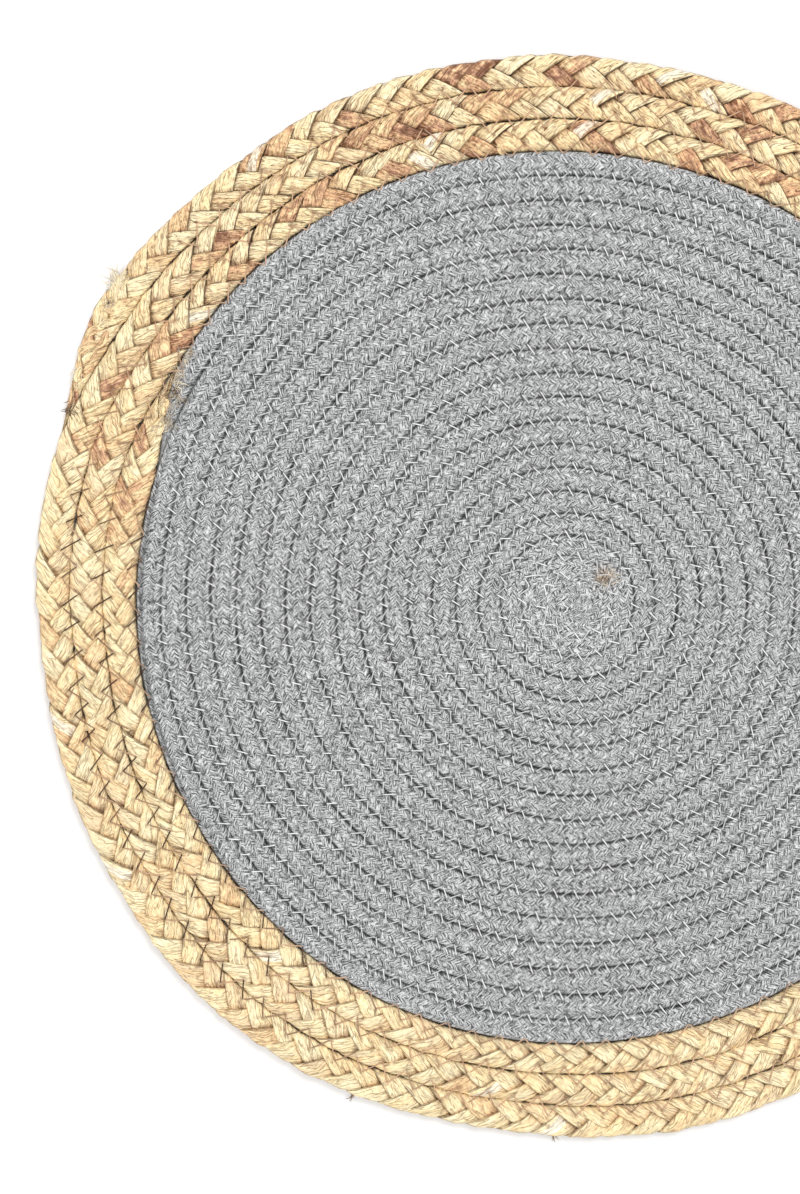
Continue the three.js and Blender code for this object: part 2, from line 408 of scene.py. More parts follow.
for name, size, power, place in LAMPS:
    data = bpy.data.lights.new(name, "AREA")
    data.shape = "DISK"
    data.size = size
    data.energy = power
    lamp = add_object(name, data)
    lamp.location = place
    lamp.rotation_euler = (-lamp.location).to_track_quat("-Z", "Y").to_euler()

sky = bpy.data.worlds.new("pale_sky")
sky.use_nodes = True
sky_light = sky.node_tree.nodes["Background"].inputs
sky_light["Color"].default_value = (1, 1, 1, 1)
sky_light["Strength"].default_value = SKY_STRENGTH
bpy.context.scene.world = sky
print(f"{len(LAMPS)} lamps and a pale sky")

# %% [markdown]
# ## The coiled cord
# The cord is one long braid of cotton, about nine millimetres wide once it is pressed and sewn.
# It could be a tube swept along the spiral, but then the turns would pass through each other at
# every seam. Since nothing hangs over, one height field is enough: rows of points follow the
# spiral across each turn, high on its back and low at the seams, and each turn shares the points
# of its seam with the next. The underside is made in the same way, with shallower seams. Then every
# needle hole pulls the cotton down round it, which makes the soft swellings between the stitches.

# %% Rows of points along the cord
TOP_ROWS = 12
TOP_STEP = 1.3
GROOVE_HEIGHT = 3.4
BACK_HEIGHT = 5.6
RIM_HEIGHT = 3.1
UNDERSIDE_ROWS = 3
UNDERSIDE_STEP = 3.2
UNDERSIDE_GROOVE = 1.3
UNDERSIDE_BACK = 0.15
ROW_CROWDING = 0.34
BACK_SQUARENESS = 5
FULL_WIDTH = 0.8 * CORD_PITCH

# Round the middle the cord is flatter: its least share of the depth, and the turns where it grows.
FLATTEST = 0.1
FLAT_TURNS = (1, 5.5)

# From this turn on, a cord that is narrower than its full width is the tapered end.
TAPER_TURN = 2

# The waves in the height of the cord's back, as shares of it, in the columns of SEAM_WAVES.
BACK_WAVES = [(0.1, 17, 0), (0.08, 6.3, 2)]

# Face corners with this share lie in the very middle, where there is no cord to count along.
MIDDLE_MARK = -1.0


def stations(step, first, last, lengths):
    """Places in turns, evenly spaced along a length, with both ends."""
    start, end = np.interp([first, last], dense_turns, lengths)
    count = max(2, round((end - start) / step))
    return np.interp(np.linspace(start, end, count + 1), lengths, dense_turns)


def row_shares(rows):
    """Where the rows lie across a turn, closer together near its seams."""
    even = np.arange(rows) / rows
    return even - ROW_CROWDING / (2 * math.pi) * np.sin(2 * math.pi * even)


def turn_profile(share):
    """The cord's rounded back, from 0 at its seams to 1."""
    return (1 - np.abs(2 * share - 1) ** BACK_SQUARENESS) ** 0.5


def bridge(inner, outer):
    """Triangles between two rows of (vertex, place, share) that are ordered by place."""
    triangles = []
    i = o = 0
    while i < len(inner) - 1 or o < len(outer) - 1:
        inner_next = inner[i + 1][1] if i < len(inner) - 1 else math.inf
        outer_next = outer[o + 1][1] if o < len(outer) - 1 else math.inf
        if inner_next <= outer_next:
            triangles.append((inner[i], outer[o], inner[i + 1]))
            i += 1
        else:
            triangles.append((inner[i], outer[o], outer[o + 1]))
            o += 1
    return triangles


class CoilSide:
    """One side of the coil: its points, and faces whose corners know their place on the cord."""

    def __init__(self, rows, step, groove, back, first_vertex):
        self.turns = stations(step, 0, CORD_TURNS, cord_length)[:-1]
        self.shares = row_shares(rows)
        count = len(self.turns)
        inner = groove_radius(self.turns)
        outer = outer_side_radius(self.turns)
        full = np.clip((outer - inner) / FULL_WIDTH, 0, 1)
        full[self.turns < TAPER_TURN] = 1
        depth = (back - groove) * blend(FLATTEST, 1.0, smoothstep(self.turns, *FLAT_TURNS))
        uneven = waves(np.interp(self.turns, dense_turns, cord_length), BACK_WAVES)
        points = []
        for share in self.shares:
            dip = depth * (1 - turn_profile(share) - uneven * math.sin(math.pi * share))
            height = blend(blend(groove, RIM_HEIGHT, 0.5), back - dip, full)
            points.append(polar(blend(inner, outer, share), cord_angle(self.turns), height))

        # The rim goes once round, from the cord's tip back to its tip.
        rim_turns = stations(step, CORD_TURNS - 1, CORD_TURNS, cord_length)[1:-1]
        rim_height = RIM_HEIGHT if back > groove else groove
        rim = polar(outer_side_radius(rim_turns), cord_angle(rim_turns), rim_height)
        tip = polar(groove_radius(CORD_TURNS), cord_angle(CORD_TURNS), blend(rim_height, groove, 0.5))
        self.points = np.concatenate([*points, rim, tip[None]])
        self.count = count
        self.row_start = [first_vertex + count * row for row in range(rows)]
        rim_start = first_vertex + count * rows
        self.tip = rim_start + len(rim_turns)
        self.rim_row = [(self.tip, CORD_TURNS - 1, 1.0)]
        self.rim_row += [(rim_start + k, place, 1.0) for k, place in enumerate(rim_turns)]
        self.rim_row += [(self.tip, CORD_TURNS, 1.0)]

    def row(self, number):
        start, share = self.row_start[number], self.shares[number]
        corners = [(start + k, place, share) for k, place in enumerate(self.turns)]
        return corners + [(self.tip, CORD_TURNS, share)]

    def faces(self):
        """Faces that look up, as lists of (vertex, place, share)."""
        made = []
        rows = [self.row(number) for number in range(len(self.shares))]
        for inner, outer in zip(rows, rows[1:]):
            for k in range(self.count - 1):
                made.append((inner[k], outer[k], outer[k + 1], inner[k + 1]))
            made.append((inner[-2], outer[-2], inner[-1]))
        grooves = [(vertex, place - 1, 1.0) for vertex, place, _ in rows[0][:-1]]
        outer_side = [corner for corner in grooves if corner[1] >= 0]
        first_new = outer_side[0]
        outer_side += self.rim_row
        made += bridge(rows[-1], outer_side)
        middle = rows[0][0]
        first_turn = [corner for corner in rows[0] if corner[1] < 1]
        for near, far in zip(first_turn[1:], first_turn[2:] + [first_new]):
            made.append(tuple((vertex, place, MIDDLE_MARK) for vertex, place, _ in (middle, near, far)))
        starts = [row[0] for row in rows[1:]] + [first_new]
        for near, far in zip(starts, starts[1:]):
            made.append((middle, far, near))
        return made


top_side = CoilSide(TOP_ROWS, TOP_STEP, GROOVE_HEIGHT, BACK_HEIGHT, first_vertex=0)
under_side = CoilSide(UNDERSIDE_ROWS, UNDERSIDE_STEP, UNDERSIDE_GROOVE, UNDERSIDE_BACK,
                      first_vertex=len(top_side.points))
coil_faces = top_side.faces() + [face[::-1] for face in under_side.faces()]
coil_faces += [face[::-1] for face in bridge(top_side.rim_row, under_side.rim_row)]
coil_faces = [face for face in coil_faces if len({corner[0] for corner in face}) == len(face)]
coil_points = np.concatenate([top_side.points, under_side.points])
print(f"the coil has {len(coil_points)} points and {sum(len(face) - 2 for face in coil_faces)} triangles")

# %% Helpers that make meshes
def make_mesh(name, points, faces):
    mesh = bpy.data.meshes.new(name)
    mesh.from_pydata((points * MM).tolist(), [], faces)
    mesh.shade_smooth()
    return mesh


def keep_map(mesh, name, first, second):
    """Keeps two numbers for each face corner, as a map that the material can read."""
    layer = mesh.uv_layers.new(name=name)
    layer.uv.foreach_set("vector", np.stack([first, second], -1).ravel().astype(np.float32))


def keep_numbers(mesh, name, values):
    """Keeps one number for each point of the mesh."""
    layer = mesh.attributes.new(name, "FLOAT", "POINT")
    layer.data.foreach_set("value", np.asarray(values, dtype=np.float32))


def keep_facts(mesh, facts):
    """Keeps several numbers for each point, from a table of names and values."""
    for name, values in facts.items():
        keep_numbers(mesh, name, values)


def hole_finder(holes):
    """A quick way to the nearest of many needle holes."""
    tree = KDTree(len(holes))
    for number, hole in enumerate(holes):
        tree.insert(hole, number)
    tree.balance()
    return tree


def distance_to(finder, points):
    """How far each point is from its nearest hole, seen from above."""
    return np.array([finder.find((x, y, 0))[2] for x, y, _ in points.tolist()])


# %% The coil's mesh, with its needle holes and the cord's own coordinates
STITCH = 6.7
REACH = 1.9
PINCH_REACH = 1.7
PINCH_DEPTH = 0.9

# From the first of these radii to the second, the stitches come to pinch the cord.
PINCHED_RADII = (20, 50)

# The first stitch in turns, and how far the last one stays from the cord's end.
FIRST_STITCH, LAST_STITCH = 1.4, 0.03


def stitch_lean(turns):
    """How far on the inner end of a zigzag is from its outer end, in stitches."""
    return 0.5 + 0.2 * np.cos(np.radians(2 * (cord_angle(turns) - 95)))


def stitch_points(phase, reach):
    """Points on the cord beside its seam. A reach above zero is on the outer side."""
    turns = np.interp(phase * STITCH, seam_length, dense_turns)
    return polar(groove_radius(turns) + reach, cord_angle(turns), 0.0)


first_length, last_length = np.interp([FIRST_STITCH, CORD_TURNS - LAST_STITCH], dense_turns, seam_length)
cord_numbers = np.arange(math.ceil(first_length / STITCH), math.floor(last_length / STITCH) - 1)
lean = stitch_lean(np.interp(cord_numbers * STITCH, seam_length, dense_turns))
outer_holes = stitch_points(cord_numbers, REACH)
inner_holes = stitch_points(cord_numbers + lean, -REACH)
cord_holes = hole_finder(np.concatenate([outer_holes, inner_holes]))
sewn_tight = smoothstep(np.linalg.norm(coil_points[:, :2] - CENTRE, axis=1), *PINCHED_RADII)
pinched = PINCH_DEPTH * sewn_tight * np.exp(-(distance_to(cord_holes, coil_points) / PINCH_REACH) ** 2)
coil_points[:, 2] -= np.where(coil_points[:, 2] > GROOVE_HEIGHT, pinched, 0)

# The cord's inner end is worn, and shows some beige: its place, and how far the worn spot reaches.
WORN_SPOT = polar(14.2, 37.5, 0.0)
WORN_REACH = 3.9

coil_polygons = [[vertex for vertex, _, _ in face] for face in coil_faces]
coil_mesh = make_mesh("cotton_cord_coil", coil_points, coil_polygons)
face_corners = [corner for face in coil_faces for corner in face]
corner_vertex, corner_place, corner_share = map(np.array, zip(*face_corners))
corner_point = coil_points[corner_vertex] - [*CENTRE, 0]
in_middle = corner_share == MIDDLE_MARK
keep_map(coil_mesh, "cord_place",
         np.where(in_middle, corner_point[:, 0] + 40, np.interp(corner_place, dense_turns, cord_length)),
         np.where(in_middle, corner_point[:, 1] + CORD_PITCH / 2, corner_share * CORD_PITCH))
keep_map(coil_mesh, "stitch_place", np.interp(corner_place, dense_turns, seam_length) / STITCH,
         np.interp(corner_place + 1, dense_turns, seam_length) / STITCH - stitch_lean(corner_place))
from_spot = np.linalg.norm(coil_points[:, :2] - WORN_SPOT[:2], axis=1)
keep_numbers(coil_mesh, "worn", np.exp(-(from_spot / WORN_REACH) ** 2) * (coil_points[:, 2] > GROOVE_HEIGHT))
print(f"{len(cord_numbers)} zigzag stitches have pinched the cord by up to {pinched.max():.1f} mm")

# %% [markdown]
# ## Heather grey cotton
# The cord is a braid of soft yarns. From above, its back shows columns of short slanting yarns,
# which lean left and right by turns, in a mix of light and dark grey fibre. That is far too fine to
# model, so the material draws it. The mesh carries each point's place along and across the cord, and
# from these two numbers a few sums make the columns, the slant, each yarn's own tone and its relief.
# A second map counts the stitches. From it, painted shade darkens the needle's holes into small pits,
# and each seam into a dark line that is faint where the thread is tight and darker where it is slack.

# %% Cotton cord finish
COLUMNS = 4
YARN_STEP = 1.35
YARN_LENGTH = 2.8
YARN_WIDTH = 0.38
LIGHT_COTTON, DARK_COTTON = from_screen(232, 233, 233), from_screen(70, 71, 72)
LIGHT_BEIGE, DARK_BEIGE = from_screen(240, 222, 202), from_screen(80, 60, 48)

cotton = Finish("heather_cotton", Roughness=0.9, Specular_IOR_Level=0.2,
                Sheen_Weight=0.25, Sheen_Roughness=0.5)
along, across = cotton.place_on("cord_place")
own_stitch, next_stitch = cotton.place_on("stitch_place")
bent_along = along + (cotton.noise(along * 0.4, across * 0.4) - 0.5) * 1.5
bent_across = across + (cotton.noise(along * 0.3, across * 0.3, 7.0) - 0.5) * 2.0
column_width = CORD_PITCH / COLUMNS
column = (bent_across / column_width).floor()
in_column = (bent_across / column_width).fraction()
leans_left = (column * 0.5).fraction() * 2

uphill = (bent_along + bent_across) * 0.707
downhill = (bent_along - bent_across) * 0.707
left_fibres = cotton.noise(uphill / YARN_LENGTH, downhill / YARN_WIDTH, 3.0)
right_fibres = cotton.noise(downhill / YARN_LENGTH, uphill / YARN_WIDTH, 9.0)
fibres = left_fibres + (right_fibres - left_fibres) * leans_left
other_fibres = right_fibres + (left_fibres - right_fibres) * leans_left
fluff = cotton.noise(along * 1.7, across * 1.7, detail=2.0, rough=0.75)

yarn_place = (bent_along + (leans_left * 2 - 1) * in_column * column_width * 0.9) / YARN_STEP
yarn_tone = cotton.chance(yarn_place.floor(), column * 3.7)
yarn_height = (yarn_place.fraction() * math.pi).wave() * (in_column * math.pi).wave() ** 0.4
# Small pits between the yarns, low in the relief; below they darken the colour as painted shade.
pits = cotton.noise(along * 0.95, across * 0.95, 11.0).ramp(0.28, 0.4)
light_hairs = other_fibres.ramp(0.62, 0.74)


def from_hole(stitch, away):
    """How far a point is from the nearest needle hole of a seam."""
    beside = ((stitch + 0.5).fraction() - 0.5) * STITCH
    return (beside * beside + away * away) ** 0.5


own_hole = from_hole(own_stitch, across - REACH)
hole_distance = own_hole.least(from_hole(next_stitch, CORD_PITCH - REACH - across))
settled = along.ramp(80.0, 350.0)
# Painted shade: the needle holes are drawn dark, and the dents that the thread pulls round them a little
# darker.
holes = (1.0 - hole_distance.ramp(0.3, 0.95)) * settled
dents = (1.0 - hole_distance.ramp(0.4, 2.2)) * settled

# Painted shade darkens each seam, most where it gapes a little, between the threads, and where the thread is
# slack.
far_half = across.ramp(CORD_PITCH * 0.5 - 0.01, CORD_PITCH * 0.5 + 0.01)
seam_stitch = own_stitch + (next_stitch - own_stitch) * far_half
gaping = 0.5 + (seam_stitch * 4 * math.pi + math.pi / 2).wave() * 0.5
slack = cotton.noise(seam_stitch * 0.3, 5.0).ramp(0.36, 0.64)
seam_shadow = 0.3 + gaping * 0.1 + slack * 0.38
seam_shade = (across / CORD_PITCH - 0.5).size().ramp(0.39, 0.486) * along.ramp(50.0, 150.0) * seam_shadow

contrast = 1.24 - settled * 0.34
yarns = 0.42 + (fibres - 0.5) * contrast * 3.2 + (fluff - 0.5) * contrast * 2.0
# Each yarn is painted lighter on its crown, as painted shade, besides its own random tone and light hairs.
yarns = yarns + (yarn_height - 0.5) * 0.12 + (yarn_tone - 0.5) * 0.12 + light_hairs * 0.25
brightness = yarns * (0.5 + pits * 0.5)
cotton_colour = cotton.mix(brightness.within(0.0, 1.0), DARK_COTTON, LIGHT_COTTON)
strokes = cotton.noise(uphill * 0.6, downhill * 2.3, 27.0)
beige = cotton.mix(strokes.ramp(0.42, 0.6), DARK_BEIGE, LIGHT_BEIGE)
worn = (cotton.number("worn") * 1.25 + (fluff - 0.5) * 2.8 - 0.35).within(0.0, 0.72)
cotton_colour = cotton.mix(worn, cotton_colour, beige)
# The colour is darkened by painted shade at the seams, in the needle holes and in the dents round them.
cotton.colour(cotton.scaled(cotton_colour, (1.0 - seam_shade) * (1.0 - holes * 0.4) * (1.0 - dents * 0.16)))
cotton.relief(yarn_height * 0.25 + fibres * 0.9 + pits * 0.4 - holes * 1.2, 0.35)
print(f"the cotton is drawn by {len(cotton.tree.nodes)} nodes")

coil = make_object("cotton_cord_coil", coil_mesh, cotton)
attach(coil, "root")
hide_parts("cotton_coil")

# %% [markdown]
# ## The straw plait
# The border is a flat plait of three strands, each a soft bundle of dried leaf. A strand runs
# slantwise across the plait, folds over at the edge and comes back. After each fold it lies on
# top until the middle, and then dives under the strand that comes from the other side. A cloth
# simulation could settle the strands, but a paper strip is easier. Unfolded, a strand is straight,
# so its path is a straight line that is folded at both edges, and one function takes every point
# of the flat strip to its place in the plait. Each strand is widest where it is folded, and
# leans a little, so that every lobe lies over its neighbour like a scale. The thread pulls it in at
# its holes, and the table presses its underside flat.

# %% The plait's sizes
# From lobe to lobe along one side, the plait's width, and how far it reaches over its neighbours.
LOBE_PITCH = 10.8
BAND = 11.93
BAND_OVERLAP = 0.62

# The strand's width, its spread at a fold, half its thickness, and how tightly it is folded.
STRAND_WIDTH = 7.5
FOLD_SPREAD = 0.09
HALF_THICKNESS = 1.05
FOLD_RADIUS = 1.2

# How far the upper strand is above the middle, its lean, the rounding of the plait's back, the
# length in which a strand dives, and how far its path bends, as a share.
LAYER_RISE = 1.4
SCALE_LEAN = 0.72
CROWN = 0.5
DIVE = 2.4
CURVE_SHARE = 0.3

# The height of the plait's middle, and below which height the table presses the straw.
PLAIT_MIDDLE = 3.1
PRESSED = 0.6

# Steps along a strand, points over each of its two sides, and how far it stays from the ends.
STRAND_STEP = 1.3
AROUND = 14
END_MARGIN = 0.5

fold_span = BAND + BAND_OVERLAP - 2 * HALF_THICKNESS
pass_across = fold_span + (math.pi - 2) * FOLD_RADIUS
pass_along = 1.5 * LOBE_PITCH
pass_length = math.hypot(pass_across, pass_along)
slant = math.atan2(pass_across, pass_along)
print(f"a strand slants by {math.degrees(slant):.0f} degrees, and one pass is {pass_length:.1f} mm long")

dense_angles = np.linspace(STEP_START, PLAIT_END, FINE_POINTS)


def plait_inner(angle):
    return plait_line(angle) + np.where(angle <= NEXT_STEP_START, -0.1, 0)


def plait_outer(angle):
    return plait_line(angle + TURN)


plait_middle_line = (plait_inner(dense_angles) + plait_outer(dense_angles)) / 2
plait_length = running_length(polar(plait_middle_line, dense_angles, 0))
lobe_count = plait_length[-1] / LOBE_PITCH
print(f"the plait is {plait_length[-1] / 1000:.2f} m long, with {lobe_count:.0f} lobes a side")

# %% Where the needle went through the straw
chance = np.random.default_rng(20)
STRAW_STITCH = 9.6
STRAW_REACH = 3.1

# How far on the outer end of a stitch is, in stitches, how many degrees before the plait's end the
# last one lies, and the share of its reach that a stitch has where it holds the plait to the cord.
STRAW_LEAN = 0.4
STRAW_SEAM_END = 20
REACH_ON_CORD = 0.55

seam_angles = np.linspace(STEP_END, PLAIT_END - STRAW_SEAM_END, FINE_POINTS)
straw_seam = running_length(polar(plait_line(seam_angles), seam_angles, 0))
straw_numbers = np.arange(1, math.floor(straw_seam[-1] / STRAW_STITCH) - 1)


def straw_stitch_points(phase, reach):
    """Points beside the plait's inner seam, where reach above zero is outwards."""
    angle = np.interp(phase * STRAW_STITCH, straw_seam, seam_angles)
    on_coil = (angle < NEXT_STEP_START) & (reach < 0)
    return polar(plait_line(angle) + np.where(on_coil, reach * REACH_ON_CORD, reach), angle, 0.0), angle


straw_jitter = chance.uniform(-0.07, 0.07, (4, len(straw_numbers) + 1))
outer_phase = np.append(straw_numbers, straw_numbers[-1] + 1) + STRAW_LEAN + straw_jitter[0]
inner_phase = straw_numbers + straw_jitter[2, :-1]
straw_outer, straw_angle = straw_stitch_points(outer_phase, STRAW_REACH + 7 * straw_jitter[1])
straw_inner, _ = straw_stitch_points(inner_phase, -STRAW_REACH + 7 * straw_jitter[3, :-1])
needle_holes = hole_finder(np.concatenate([straw_outer, straw_inner]))
print(f"{len(straw_numbers)} stitches hold the straw")

# %% From the flat strip to the plait, and from the plait to the mat
HOLE_REACH = 0.9
HOLE_DEPTH = 0.55


def across_in_pass(way):
    """Where a strand is across the plait, and its share of full height, along one pass."""
    quarter = math.pi / 2 * FOLD_RADIUS
    half = fold_span / 2
    way_left = pass_across - way
    across_at = half - FOLD_RADIUS - (way - quarter)
    share = np.ones_like(way)
    start = way < quarter
    across_at = np.where(start, half - FOLD_RADIUS + FOLD_RADIUS * np.cos(way / FOLD_RADIUS), across_at)
    share = np.where(start, np.sin(way / FOLD_RADIUS), share)
    end = way_left < quarter
    across_at = np.where(end, FOLD_RADIUS - half - FOLD_RADIUS * np.cos(way_left / FOLD_RADIUS), across_at)
    return across_at, np.where(end, np.sin(way_left / FOLD_RADIUS), share)


def onto_mat(along_plait, across_plait, height):
    """Bends a straight plait onto its spiral. It is squeezed where the spiral leaves it less room."""
    angle = np.interp(along_plait, plait_length, dense_angles)
    inner, outer = plait_inner(angle), plait_outer(angle)
    squeeze = (outer - inner) / BAND
    radius = (inner + outer) / 2 + across_plait * squeeze
    return polar(radius, angle, height * blend(0.45, 1.0, np.clip(squeeze, 0, 1)))


def lobe_values(fold_place, low, high, softness=0.1):
    """A random number for each lobe of a strand, which changes where the strand is hidden."""
    count = int(fold_place[-1]) + 2
    values = chance.uniform(low, high, count + 2)
    place = np.clip(fold_place, 0, count)
    number = np.floor(place).astype(int)
    share = smoothstep(place - number, 0.75 - softness, 0.75 + softness)
    return blend(values[number], values[number + 1], share)


# %% The shape of one strand
# What differs from lobe to lobe, from its least to its most: shares of the width, the thickness and
# the reach, the shift and the lift in millimetres, the skew, and where the creases lie.
LOBE_VARIETY = {
    "width": (0.87, 1.12), "thickness": (0.8, 1.15), "shift": (-0.9, 0.9), "skew": (-0.22, 0.22),
    "reach": (0.93, 1.05), "lift": (-0.25, 0.25), "crease": (0, 6),
}

# The strands are browner on one side of the mat: at least this much, more by this, and where.
BROWNER_SIDE = (0.22, 0.86)
BROWNER_ANGLE = 98.0


def tube_faces(rings, around):
    """The faces of a tube whose points lie in rings, with a face over each end."""
    near = np.arange(rings - 1)[:, None] * around + np.arange(around)[None, :]
    beside = np.arange(rings - 1)[:, None] * around + (np.arange(around)[None, :] + 1) % around
    sides = np.stack([near, near + around, beside + around, beside], -1).reshape(-1, 4).tolist()
    return sides + [list(range(around)), list(range((rings - 1) * around, rings * around))[::-1]]


def round_ring(values):
    """Values across the strip, and the same again for the points of its underside."""
    return np.concatenate([values, values[:, -2:0:-1]], axis=1)


def thickened(flat, side, lobe):
    """Rings of points round a bundle of leaf: thick in the middle, thin at its rims, and creased."""
    normal = np.cross(np.gradient(flat, axis=0), np.gradient(flat, axis=1))
    normal /= np.linalg.norm(normal, axis=2, keepdims=True)
    creased = 1 + 0.2 * np.sin(4.6 * side + lobe["crease"]) + 0.1 * np.sin(8.5 * side + 2 * lobe["crease"])
    thick = HALF_THICKNESS * lobe["thickness"] * creased * (1 - np.abs(side) ** 3.2) ** 0.5
    swell = thick[:, :, None] * normal
    return np.concatenate([flat + swell, (flat - swell)[:, -2:0:-1]], axis=1)


def sewn_down(points):
    """The thread pulls points in at its holes, and the table presses the underside flat."""
    hole = np.exp(-(distance_to(needle_holes, points) / HOLE_REACH) ** 2) * (points[:, 2] > PLAIT_MIDDLE)
    points[:, 2] -= HOLE_DEPTH * hole
    low = points[:, 2] < PRESSED
    points[low, 2] = PRESSED * np.exp(points[low, 2] / PRESSED - 1)
    return points, hole


def strand(number):
    """The points and faces of one strand, and what its material needs to know."""
    first = number * LOBE_PITCH - 2 * pass_along
    last = plait_length[-1] + 2 * pass_along
    length = np.arange(0, (last - first) / math.cos(slant), STRAND_STEP)
    fold_place = length * math.sin(slant) / pass_across
    lobe = {name: lobe_values(fold_place, *limits)[:, None] for name, limits in LOBE_VARIETY.items()}

    # The flat strip: u along it and v across it, and both edges folded over in every pass.
    side = np.sin(np.linspace(-math.pi / 2, math.pi / 2, AROUND + 1))[None, :]
    leaf_shape = 1 + FOLD_SPREAD * np.cos(2 * math.pi * fold_place)[:, None]
    v = side * (STRAND_WIDTH * leaf_shape * lobe["width"]) / 2
    u = length[:, None] + 0 * v
    way = u * math.sin(slant) + v * math.cos(slant)
    number_of_pass = np.floor(way / pass_across)
    across_at, full = across_in_pass(way - number_of_pass * pass_across)
    across_at = np.where(number_of_pass % 2 == 0, across_at, -across_at) * lobe["reach"]
    along_at = first + u * math.cos(slant) - v * math.sin(slant) + lobe["shift"] + lobe["skew"] * across_at
    along_at += CURVE_SHARE * pass_along / (2 * math.pi) * np.sin(2 * math.pi * way / pass_across)
    from_middle = u - (number_of_pass + 0.5) * pass_length
    layer = LAYER_RISE * -np.tanh(from_middle / DIVE) + lobe["lift"] + SCALE_LEAN * side
    crown = 1.06 - CROWN * (2 * across_at / fold_span) ** 2
    flat = np.stack([along_at, across_at, PLAIT_MIDDLE + layer * full * crown], -1)

    # Only the rings that lie between the plait's two ends are kept.
    inside = (along_at.min(axis=1) > END_MARGIN) & (along_at.max(axis=1) < plait_length[-1] - END_MARGIN)
    first_kept, last_kept = np.flatnonzero(inside)[[0, -1]]
    kept = slice(first_kept, last_kept + 1)
    ring = thickened(flat, side, lobe)[kept]
    rings, around = ring.shape[:2]
    points, hole = sewn_down(onto_mat(ring[..., 0], ring[..., 1], ring[..., 2]).reshape(-1, 3))

    angle = np.interp(along_at[:, AROUND // 2], plait_length, dense_angles)
    brown_share = ((1 + np.cos(np.radians(angle - BROWNER_ANGLE))) / 2) ** 2
    browner = BROWNER_SIDE[0] + BROWNER_SIDE[1] * brown_share
    tone = 1 - np.clip(lobe_values(fold_place, 0, 1, 0.06) ** 3 * browner, 0, 1)
    facts = {
        "along": np.repeat(length[kept], around),
        "across": round_ring(v)[kept].ravel(),
        "side": round_ring(side + 0 * v)[kept].ravel(),
        "tone": np.repeat(tone[kept], around),
        "brown_share": np.repeat(brown_share[kept], around),
        "blush": np.repeat(lobe_values(fold_place, 0, 1, 0.06)[kept], around),
        "depth": round_ring(from_middle * full)[kept].ravel(),
        "fold": round_ring(1 - full)[kept].ravel(),
        "hole": hole,
    }
    return points, tube_faces(rings, around), facts


# %% [markdown]
# ## Dried leaf
# The straw is a dried water plant: flat leaf, pale gold on most strands, tan or brown on some,
# with fine veins along the leaf and a soft shine. The mesh keeps each point's place along and
# across its strand, so that the veins can be noise that is stretched along the leaf, and each
# lobe keeps a tone of its own, more often a brown one on one side of the mat. A strand is a few
# leaves wide, and a random number gives each leaf its own shade. A ramp turns the sum of these
# tones into leaf colours.

# %% Straw finish
LEAF_WIDTH = 2.7
ROSY_LEAF, WHITE_FLESH = from_screen(218, 150, 104), from_screen(252, 249, 238)
# The warm colour that painted shade gives the leaf, and the dark of its rims, partly its own and partly
# painted shade.
LEAF_SHADOW, DARK_RIM_AND_SHADE = from_screen(132, 82, 46), from_screen(62, 36, 18)

# The places of the leaf colours on the ramp, from dark brown to pale gold.
LEAF_COLOURS = [
    (0.0, (136, 96, 74)), (0.15, (184, 140, 112)), (0.32, (220, 176, 136)), (0.5, (238, 203, 156)),
    (0.74, (248, 222, 172)), (1.0, (250, 232, 190)),
]

straw = Finish("dried_leaf", Specular_IOR_Level=0.3)
leaf_along, leaf_across, leaf_side = map(straw.number, ("along", "across", "side"))
leaf_tone, leaf_blush, leaf_depth = map(straw.number, ("tone", "blush", "depth"))
# How far a point lies on the mat's brown side, where the painted shade on the leaf is stronger and the leaf a
# little darker.
brown_and_shaded_side = straw.number("brown_share").ramp(0.4, 0.9)

# Veins run along the leaf, fine hairs between them, and wrinkles cross it at a slant.
bend = (straw.noise(leaf_along * 0.16, leaf_across * 0.3, leaf_blush * 9) - 0.5) * 2.4
bent_leaf = leaf_across + bend
veins = straw.noise(leaf_along * 0.14, bent_leaf * 1.9, leaf_tone * 9, detail=2.0, rough=0.7)
hairs = straw.noise(leaf_along * 0.45, bent_leaf * 3.0, leaf_blush * 11)
slanting = leaf_along * 0.9 + bent_leaf * 0.4
wrinkles = straw.noise(slanting, bent_leaf * 0.9, leaf_blush * 5, detail=2.0)
broad = straw.noise(leaf_along * 0.1, leaf_across * 0.4, leaf_blush * 7)
crease_noise = straw.noise(leaf_along * 0.1, bent_leaf * 0.75, leaf_blush * 13, detail=1.5)
creases = (crease_noise - 0.5).size().ramp(0.0, 0.03)
crinkles = straw.noise(leaf_along * 1.3, bent_leaf * 0.6, leaf_blush * 15, detail=2.0, rough=0.6)

# Each leaf of a bundle has its own shade, and a rare one shows its white flesh.
leaf_number = ((leaf_across + bend * 0.3 + leaf_blush * 8) / LEAF_WIDTH).floor()
leaf_shade = straw.chance(leaf_number, (leaf_blush * 30).floor(), 2.0)
white_flesh = leaf_shade.ramp(0.991, 0.993)

patches = straw.noise(leaf_along * 0.3, leaf_across * 0.5, leaf_blush * 21, detail=2.0)
tone_sum = leaf_tone * 0.8 + (broad - 0.5) * 0.45 + (leaf_shade - 0.5) * 0.25 + 0.12
tone_sum = tone_sum + (patches - 0.5) * (0.35 + (1.0 - leaf_tone) * 1.1)
leaf_gold = straw.start.node("ShaderNodeValToRGB", {"stops": LEAF_COLOURS}, i0=tone_sum)
# A dark line along both rims of each strand, partly the leaf's own darker edge and partly painted shade, and
# painted shade at the folds where the plait's rows meet.
rim = leaf_side.size().ramp(0.89, 0.96) * (0.68 + (leaf_shade - 0.5) * 0.7)
edge = (rim + straw.number("fold").ramp(0.2, 0.85) * 0.85).within(0.0, 1.0)
